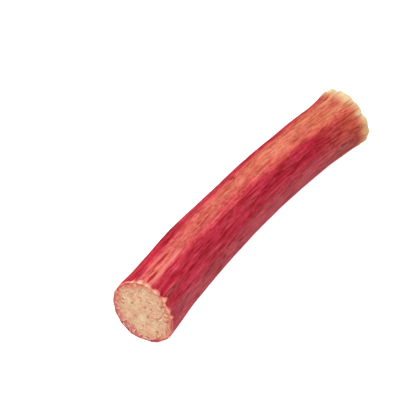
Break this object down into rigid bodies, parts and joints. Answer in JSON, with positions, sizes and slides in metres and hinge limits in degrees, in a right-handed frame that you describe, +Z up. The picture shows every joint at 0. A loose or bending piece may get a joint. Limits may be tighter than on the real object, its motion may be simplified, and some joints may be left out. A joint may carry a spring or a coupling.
{
  "type": "rhubarb stalk",
  "caption": "Cut length of rhubarb stalk, nearly round with a flatter top and low ribs, slightly bent, cut square at the butt and flared at the leaf end, lying on its side.",
  "frame": {"origin": "Middle of the stalk's footprint box, on the surface that it lies on.", "axes": "+X along the stalk from the butt cut to the flared leaf end, +Z up, +Y on the outer side of the stalk's bend."},
  "size_m": [0.1858, 0.0384, 0.0327],
  "materials": {
    "rhubarb": "crimson plant skin, paler salmon along the top, satin and finely streaked, with peach-cream fibrous flesh on the cuts"
  },
  "bodies": {
    "root": {"stalk": "rhubarb"}
  },
  "joints": []
}
